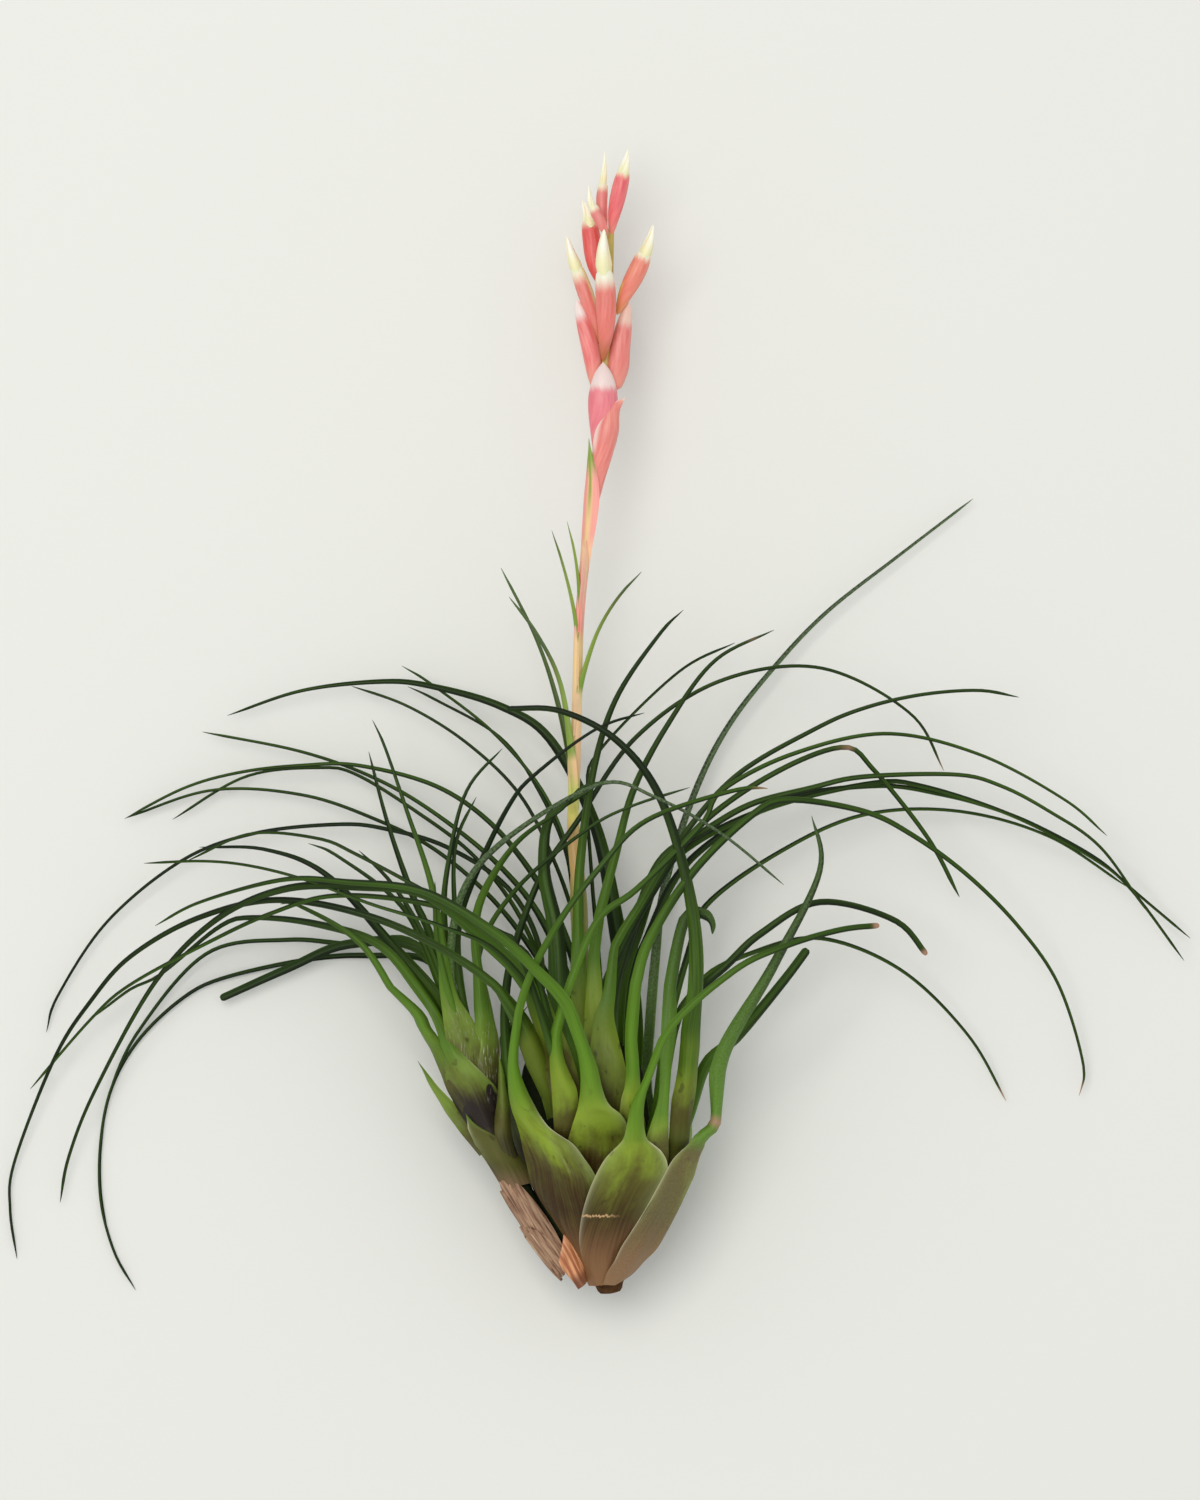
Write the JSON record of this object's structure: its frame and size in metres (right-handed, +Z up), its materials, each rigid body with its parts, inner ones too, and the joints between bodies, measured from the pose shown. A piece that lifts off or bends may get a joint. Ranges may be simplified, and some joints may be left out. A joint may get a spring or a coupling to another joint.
{
  "type": "vriesea",
  "caption": "Narrow-leaved vriesea with a small offset rosette and a coral flower spike, out of its pot and lying on its side.",
  "frame": {"origin": "middle of the small flat spot under the main rosette's bulb, where the plant touches the surface it lies on", "axes": "+Z straight up from the surface; +Y across the surface from the foot towards the flower spike's tip; +X to the right seen from above"},
  "size_m": [0.2619, 0.2522, 0.0535],
  "materials": {
    "leaf": "satin leaf",
    "offset_leaf": "satin leaf",
    "stem": "satin, fleshy",
    "bract": "satin, fleshy",
    "petal": "soft matt",
    "dry_sheath": "dry, papery",
    "rust_scale": "dry, papery"
  },
  "bodies": {
    "root": {"main_rosette": "leaf", "offset_rosette": "offset_leaf", "flower_stem": "stem", "floral_bract_1": "bract", "floral_bract_2": "bract", "floral_bract_3": "bract", "floral_bract_4": "bract", "floral_bract_5": "bract", "floral_bract_6": "bract", "floral_bract_7": "bract", "floral_bract_8": "bract", "floral_bract_9": "bract", "floral_bract_10": "bract", "floral_bract_11": "bract", "petals_1": "petal", "petals_2": "petal", "petals_3": "petal", "petals_4": "petal", "petals_5": "petal", "petals_6": "petal", "petals_7": "petal", "dry_sheath_1": "dry_sheath", "dry_sheath_2": "dry_sheath", "dry_sheath_3": "dry_sheath", "rust_scale": "rust_scale"}
  },
  "joints": []
}
